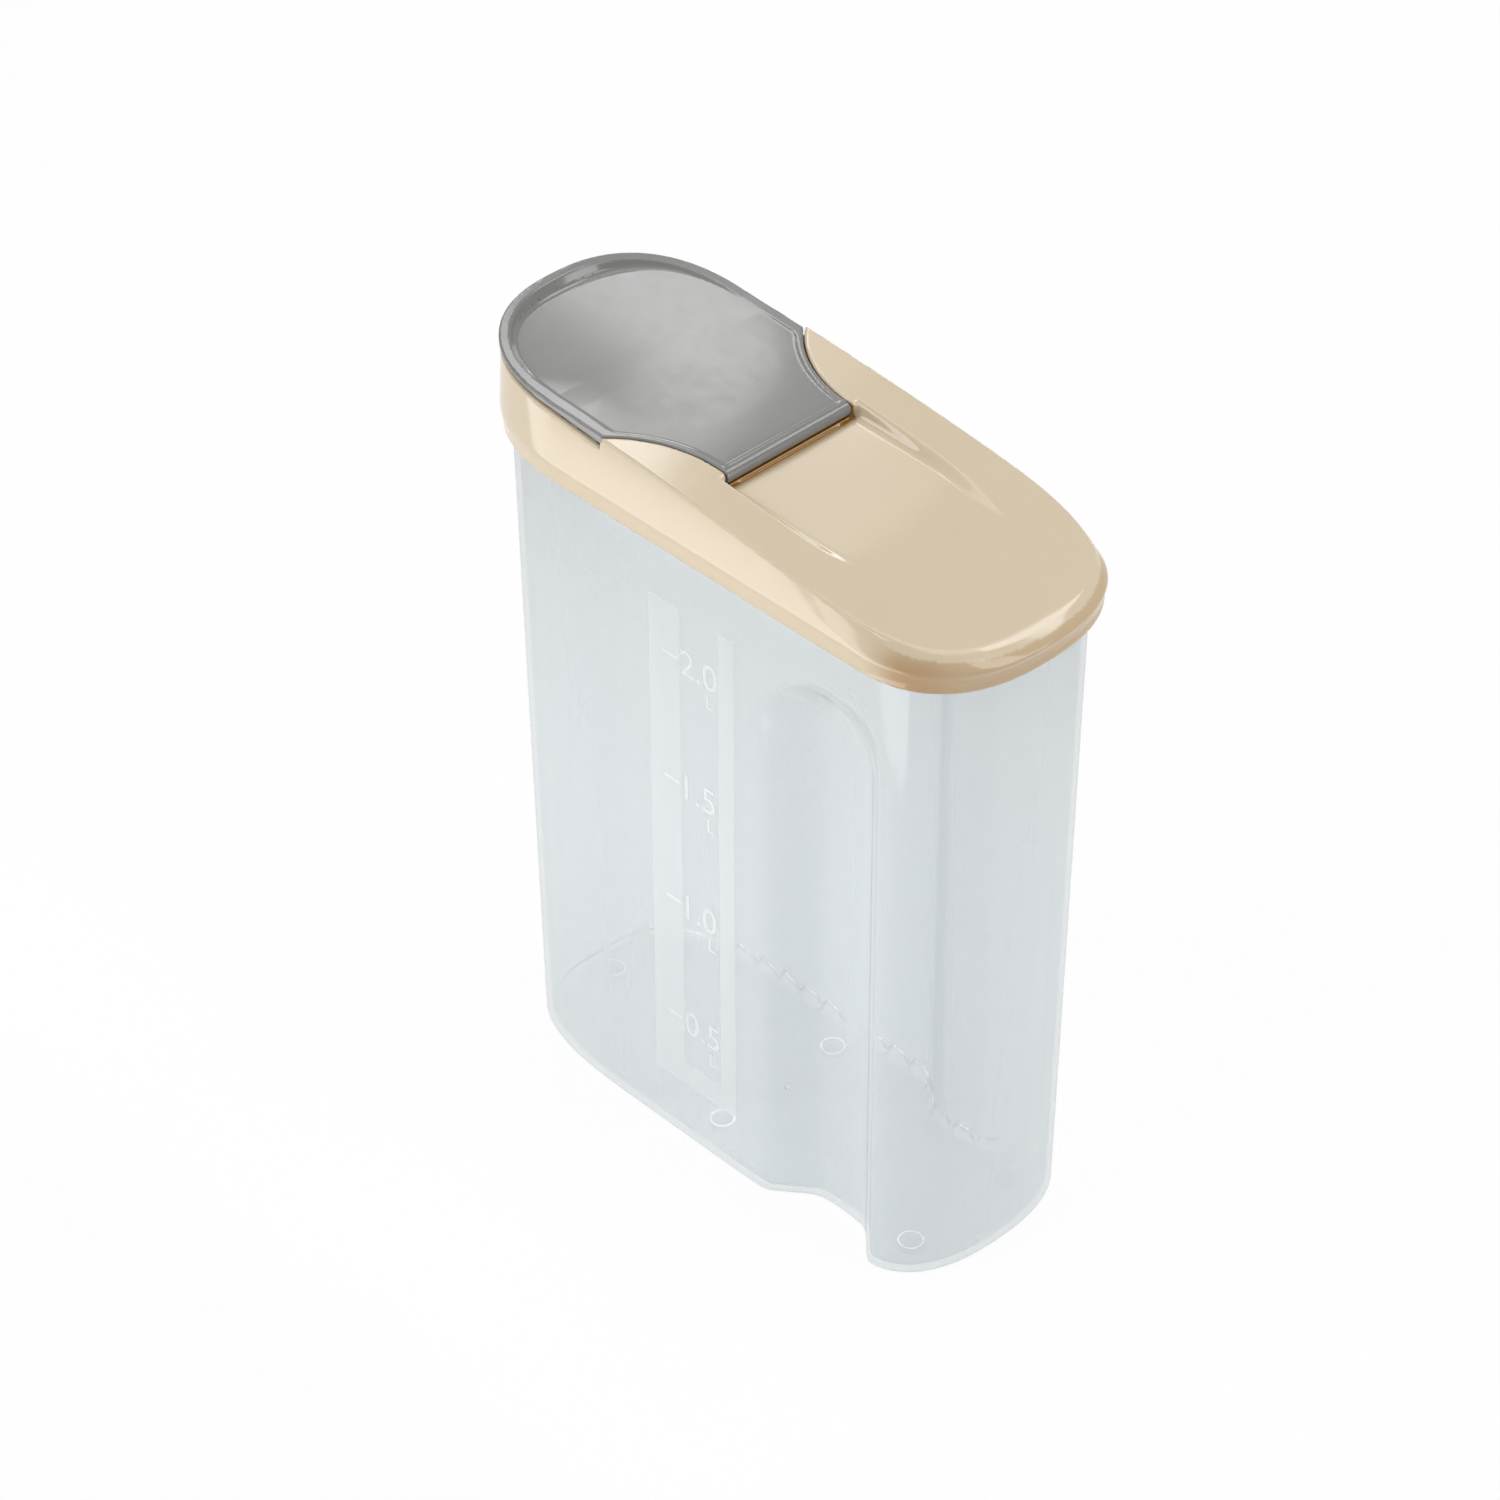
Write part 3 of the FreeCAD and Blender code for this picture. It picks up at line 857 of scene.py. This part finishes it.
def joined(shapes):
    """Several sets of points and faces as one."""
    points = []
    faces = []
    start = 0
    for shape_points, shape_faces in shapes:
        points.append(shape_points)
        faces += [[i + start for i in face] for face in shape_faces]
        start += len(shape_points)
    return np.concatenate(points), faces


def level_marks():
    """Level lines with generic numbers of litres in the window."""
    shapes = []
    middle_x = (window_front_x + window_rear_x) / 2
    for count in range(mark_count):
        z = first_mark_z + mark_step * count
        low_z = z - digit_height / 2
        shapes.append(raised_shape(mark_outline(z), mark_rise))
        shapes.append(words(f"{mark_litres * (count + 1):.1f}", digit_height, middle_x, low_z))
        shapes.append(words("L", unit_height, middle_x + digit_height / 2, low_z - unit_drop))
    return joined(shapes)


# Materials

plastic_ior = 1.53
cloud_scale = 40
gloss_scale = 220
gloss_detail = 4
grain_scale = 900
grain_detail = 2
grain_depth = 0.0002  # metres
noise_detail = 3.0
noise_low = 0.3
noise_high = 0.7
edge_blend = 0.35
skin_roughness = 0.12
slant_blend = 0.5
slant_power = 5.0
shine_least = 0.035
shine_most = 0.6
streak_across = 45
streak_along = 2
streak_detail = 4.0
streak_least = 0.94
streak_most = 1.06
glint_scale = 90
glint_least = 0.6
glint_roughness = 0.18
rubber_dark = 0.97

white = (1.0, 1.0, 1.0)
cream_dark = (0.605, 0.5, 0.355)
cream_light = (0.615, 0.51, 0.365)
# Darker warm tone painted in as shade in the lid's gaps and on its skirt's rear end
cream_painted_shade = (0.33, 0.15, 0.012)
grey_dark = (0.185, 0.184, 0.179)
grey_light = (0.195, 0.194, 0.189)
haze_tint = (0.88, 0.905, 0.915)
haze_clear = (0.938, 0.953, 0.96)
frost_tint = (0.985, 0.99, 0.995)
glint_tint = (1.0, 0.985, 0.955)
silicone_tint = (0.78, 0.77, 0.74)


def new_material(name):
    """Empty node material with its output."""
    material = bpy.data.materials.new(name)
    material.use_nodes = True
    nodes = material.node_tree.nodes
    nodes.clear()
    return material, nodes, material.node_tree.links, nodes.new("ShaderNodeOutputMaterial")


def add_node(nodes, kind, **values):
    """Node of one kind with some inputs set; an underscore stands for a space in an input's name."""
    node = nodes.new(kind)
    for name, value in values.items():
        node.inputs[name.replace("_", " ")].default_value = value
    return node


def feed(links, value, socket):
    """Give a socket a number or another node's output."""
    if isinstance(value, (int, float)):
        socket.default_value = value
    else:
        links.new(value, socket)


def worked(nodes, links, operation, first, second):
    """Result of one operation on two values."""
    node = nodes.new("ShaderNodeMath")
    node.operation = operation
    feed(links, first, node.inputs[0])
    feed(links, second, node.inputs[1])
    return node.outputs["Value"]


def mixed(nodes, links, share, first, second):
    """Blend of two shaders, with the share of the second."""
    mix = nodes.new("ShaderNodeMixShader")
    feed(links, share, mix.inputs["Fac"])
    links.new(first.outputs[0], mix.inputs[1])
    links.new(second.outputs[0], mix.inputs[2])
    return mix


def noise(nodes, links, scale, detail=noise_detail):
    """Noise in the piece's own coordinates."""
    coordinates = nodes.new("ShaderNodeTexCoord")
    texture = add_node(nodes, "ShaderNodeTexNoise", Scale=scale, Detail=detail)
    links.new(coordinates.outputs["Object"], texture.inputs["Vector"])
    return texture.outputs["Fac"]


def streaks(nodes, links):
    """Noise drawn out upright, as plastic flows in a mould."""
    coordinates = nodes.new("ShaderNodeTexCoord")
    stretch = add_node(nodes, "ShaderNodeMapping", Scale=(streak_across, streak_across, streak_along))
    texture = add_node(nodes, "ShaderNodeTexNoise", Scale=1.0, Detail=streak_detail)
    links.new(coordinates.outputs["Object"], stretch.inputs["Vector"])
    links.new(stretch.outputs["Vector"], texture.inputs["Vector"])
    return texture.outputs["Fac"]


def ranged(nodes, links, value, low, high, start=0.0, end=1.0):
    """Value mapped to a range."""
    mapper = add_node(nodes, "ShaderNodeMapRange", From_Min=start, From_Max=end, To_Min=low, To_Max=high)
    links.new(value, mapper.inputs["Value"])
    return mapper.outputs["Result"]


def noise_range(nodes, links, value, low, high):
    """Middle of a noise mapped to a range."""
    return ranged(nodes, links, value, low, high, noise_low, noise_high)


def tinted(nodes, links, value, dark, light):
    """Colour between two tones."""
    ramp = nodes.new("ShaderNodeValToRGB")
    for stop, position, tone in zip(ramp.color_ramp.elements, (noise_low, noise_high), (dark, light)):
        stop.position = position
        stop.color = (*tone, 1)
    links.new(value, ramp.inputs["Fac"])
    return ramp.outputs["Color"]


def moulded_plastic(name, dark, light, rough_low, rough_high, bump, painted_shade_tone=None):
    """Glossy moulded plastic: cloudy colour, painted shade in a darker tone where a gap layer asks for
    it, uneven gloss and a fine skin.
    """
    material, nodes, links, output = new_material(name)
    shader = add_node(nodes, "ShaderNodeBsdfPrincipled", IOR=plastic_ior)
    colour = tinted(nodes, links, noise(nodes, links, cloud_scale), dark, light)
    # Painted shade: where the mesh's gap layer is set, the colour turns to a darker warm tone standing in
    # for shadow in the gaps
    if painted_shade_tone:
        gap = nodes.new("ShaderNodeAttribute")
        gap.attribute_name = "gap"
        blend = add_node(nodes, "ShaderNodeMixRGB", Color2=(*painted_shade_tone, 1))
        links.new(gap.outputs["Fac"], blend.inputs["Fac"])
        links.new(colour, blend.inputs["Color1"])
        colour = blend.outputs["Color"]
    links.new(colour, shader.inputs["Base Color"])
    patches = noise(nodes, links, gloss_scale, gloss_detail)
    links.new(noise_range(nodes, links, patches, rough_low, rough_high), shader.inputs["Roughness"])
    skin = add_node(nodes, "ShaderNodeBump", Strength=bump, Distance=grain_depth)
    links.new(noise(nodes, links, grain_scale, grain_detail), skin.inputs["Height"])
    links.new(skin.outputs["Normal"], shader.inputs["Normal"])
    links.new(shader.outputs["BSDF"], output.inputs["Surface"])
    return material


def hazy_plastic(name, tint, clear_tint, glow_share, cover_low, cover_high):
    """Translucent milky plastic: streaky see-through haze, thicker at the edges, under a glossy skin."""
    material, nodes, links, output = new_material(name)
    clear = add_node(nodes, "ShaderNodeBsdfTransparent", Color=(*clear_tint, 1))
    haze = add_node(nodes, "ShaderNodeBsdfDiffuse", Color=(*tint, 1))
    glow = add_node(nodes, "ShaderNodeBsdfTranslucent", Color=(*tint, 1))
    milk = mixed(nodes, links, glow_share, haze, glow)
    edge = add_node(nodes, "ShaderNodeLayerWeight", Blend=edge_blend)
    cover = ranged(nodes, links, edge.outputs["Facing"], cover_low, cover_high)
    flow = noise_range(nodes, links, streaks(nodes, links), streak_least, streak_most)
    body = mixed(nodes, links, worked(nodes, links, "MULTIPLY", cover, flow), clear, milk)
    gloss = add_node(nodes, "ShaderNodeBsdfGlossy", Roughness=skin_roughness)
    slant = add_node(nodes, "ShaderNodeLayerWeight", Blend=slant_blend)
    steep = worked(nodes, links, "POWER", slant.outputs["Facing"], slant_power)
    skin = mixed(nodes, links, ranged(nodes, links, steep, shine_least, shine_most), body, gloss)
    links.new(skin.outputs["Shader"], output.inputs["Surface"])
    return material


def glint_plastic(name, colour, cover, rough):
    """Bright rounded edge of clear plastic: mostly gloss over what lies behind."""
    material, nodes, links, output = new_material(name)
    clear = nodes.new("ShaderNodeBsdfTransparent")
    gloss = add_node(nodes, "ShaderNodeBsdfGlossy", Color=(*colour, 1), Roughness=rough)
    uneven = noise_range(nodes, links, noise(nodes, links, glint_scale), cover * glint_least, cover)
    mix = mixed(nodes, links, uneven, clear, gloss)
    links.new(mix.outputs["Shader"], output.inputs["Surface"])
    return material


def rubber(name, colour):
    """Soft silicone."""
    dark = [c * rubber_dark for c in colour]
    return moulded_plastic(name, dark, colour, rough_low=0.45, rough_high=0.6, bump=0.2)


# Stage, in metres

world_light = 0.5
floor_grey = 0.85
floor_white = 0.93
floor_half = 4.0


def light_kind(nodes, links):
    """1 on rays from the camera, mirrors and clear surfaces, 0 on rays that light the object."""
    path = nodes.new("ShaderNodeLightPath")
    seen = worked(nodes, links, "MAXIMUM", path.outputs["Is Camera Ray"], path.outputs["Is Glossy Ray"])
    return worked(nodes, links, "MAXIMUM", seen, path.outputs["Is Transmission Ray"])


def make_world():
    """White to look at, softer as light."""
    world = bpy.data.worlds.new("studio")
    world.use_nodes = True
    nodes = world.node_tree.nodes
    links = world.node_tree.links
    nodes.clear()
    output = nodes.new("ShaderNodeOutputWorld")
    seen = add_node(nodes, "ShaderNodeBackground", Strength=1.0)
    lit = add_node(nodes, "ShaderNodeBackground", Strength=world_light)
    mix = mixed(nodes, links, light_kind(nodes, links), lit, seen)
    links.new(mix.outputs["Shader"], output.inputs["Surface"])
    bpy.context.scene.world = world


def make_floor():
    """White floor that keeps a faint shadow."""
    material, nodes, links, output = new_material("white_floor")
    matte = add_node(nodes, "ShaderNodeBsdfDiffuse", Color=(floor_grey, floor_grey, floor_grey, 1))
    glow = nodes.new("ShaderNodeEmission")
    share = worked(nodes, links, "MULTIPLY", light_kind(nodes, links), floor_white)
    mix = mixed(nodes, links, share, matte, glow)
    links.new(mix.outputs["Shader"], output.inputs["Surface"])
    corners = [(floor_half * x, floor_half * y, 0) for x, y in ((-1, -1), (1, -1), (1, 1), (-1, 1))]
    mesh = bpy.data.meshes.new("floor")
    mesh.from_pydata(corners, [], [(0, 1, 2, 3)])
    mesh.materials.append(material)
    floor = bpy.data.objects.new("floor", mesh)
    bpy.context.scene.collection.objects.link(floor)


def add_softbox(name, place, aim, width, height, power):
    """Rectangular soft light at a place, turned to a point."""
    lamp = bpy.data.lights.new(name, "AREA")
    lamp.shape = "RECTANGLE"
    lamp.size = width
    lamp.size_y = height
    lamp.energy = power
    holder = bpy.data.objects.new(name, lamp)
    holder.location = place
    holder.visible_camera = False
    holder.rotation_euler = (Vector(aim) - Vector(place)).to_track_quat("-Z", "Y").to_euler()
    bpy.context.scene.collection.objects.link(holder)


def make_lights():
    """Soft key and front light on the near side, fill and tail at the rear end, a top light,
    and panels that the gloss of the lid and flap mirrors."""
    middle = (0, 0, 0.15)
    add_softbox("key", (-0.9, -1.3, 1.1), middle, 0.8, 0.8, 7)
    add_softbox("front", (-0.2, -1.55, 1.35), middle, 0.6, 0.6, 5.5)
    add_softbox("fill", (1.35, 0.4, 1.25), middle, 0.8, 0.8, 5.8)
    add_softbox("top", (-0.2, 0.4, 1.9), middle, 1.2, 1.2, 6)
    add_softbox("low_panel", (-0.155, -0.20, 0.085), (-0.155, -0.04, 0.115), 0.52, 0.06, 0.205)
    add_softbox("side_panel", (0.02, -0.20, 0.155), (0.04, -0.04, 0.2), 0.16, 0.09, 0.085)
    add_softbox("rear_panel", (0.33, 0.77, 1.35), (0.09, 0, 0.23), 0.45, 0.45, 2.8)
    add_softbox("back_panel", (-0.87, 0.667, 1.24), (-0.04, 0, 0.25), 0.32, 0.32, 1.25)
    add_softbox("mid_panel", (-0.81, 0.81, 1.1), (0.02, 0, 0.24), 0.24, 0.2, 0.11)
    add_softbox("back_strip", (-0.62, 0.80, 0.37), (0, 0, 0.24), 0.5, 0.2, 0.8)
    add_softbox("tail", (1.2, 0.45, 0.5), (0.05, 0, 0.24), 0.6, 0.4, 3.2)


def make_camera():
    """Camera at the photograph's place: long lens from above the near rear corner."""
    eye = Vector((862.1, -846.3, 1099.9)) * MM
    target = Vector((-17.68, 0, 126.15)) * MM
    roll = math.radians(-0.17)
    sensor_width = 36.0
    focal_length = 127.25
    lens = bpy.data.cameras.new("camera")
    lens.sensor_width = sensor_width
    lens.lens = focal_length
    camera = bpy.data.objects.new("camera", lens)
    camera.location = eye
    turn = (target - eye).to_track_quat("-Z", "Y") @ Quaternion((0, 0, 1), roll)
    camera.rotation_euler = turn.to_euler()
    bpy.context.scene.collection.objects.link(camera)
    bpy.context.scene.camera = camera


def build():
    """All pieces of the object."""
    cream = moulded_plastic("cream_plastic", cream_dark, cream_light,
                            rough_low=0.08, rough_high=0.12, bump=0.02, painted_shade_tone=cream_painted_shade)
    grey = moulded_plastic("grey_plastic", grey_dark, grey_light,
                           rough_low=0.1, rough_high=0.14, bump=0.02)
    haze = hazy_plastic("hazy_plastic", haze_tint, haze_clear,
                        glow_share=0.5, cover_low=0.1, cover_high=0.55)
    frost = hazy_plastic("frosted_plastic", frost_tint, white,
                         glow_share=0.5, cover_low=0.27, cover_high=0.38)
    ink = hazy_plastic("mark_plastic", frost_tint, white,
                       glow_share=0.4, cover_low=0.38, cover_high=0.45)
    pale = hazy_plastic("foot_plastic", frost_tint, white,
                        glow_share=0.9, cover_low=0.03, cover_high=0.15)
    bright = glint_plastic("edge_plastic", glint_tint, cover=1.0, rough=glint_roughness)
    soft = rubber("silicone", silicone_tint)
    add_piece("jar_shell", jar_mesh(), "jar", haze, "jar")
    add_piece("feet", feet(), "jar", pale)
    add_piece("foot_rings", foot_rings(), "jar", bright)
    add_piece("floor_edge", floor_edge(), "jar", bright)
    add_piece("level_strip", raised_shape(strip_outline(), strip_rise), "jar", frost, smooth=False)
    add_piece("level_marks", level_marks(), "jar", ink, smooth=False)
    lid_shape = field_mesh(lid_field, lid_grid_low, lid_grid_high, lid_grid_step)
    lid = add_piece("lid_shell", lid_shape, "lid", cream, "lid")
    # Painted shade layer: how far the lid's colour turns to the darker warm tone in the gap round the
    # flap and on the skirt's rear end
    painted_shade_layer = lid.data.attributes.new("gap", "FLOAT", "POINT")
    painted_shade_layer.data.foreach_set("value", painted_gap_shade(lid_shape[0]))
    flap_shape = field_mesh(flap_field, flap_grid_low, flap_grid_high, flap_grid_step)
    add_piece("flap_shell", flap_shape, "flap", grey, "flap")
    seal_outer = inset(skirt_plan, skirt_wall + seal_side_gap)
    seal_inner = inset(plug_plan, -seal_side_gap)
    seal_shape = ring_mesh(seal_outer, seal_inner, seal_z, roof_z, seal_edge_radius)
    add_piece("seal_ring", seal_shape, "lid", soft, "lid_seal")


make_world()
make_floor()
make_lights()
make_camera()
build()
bpy.context.scene.view_settings.view_transform = "Standard"
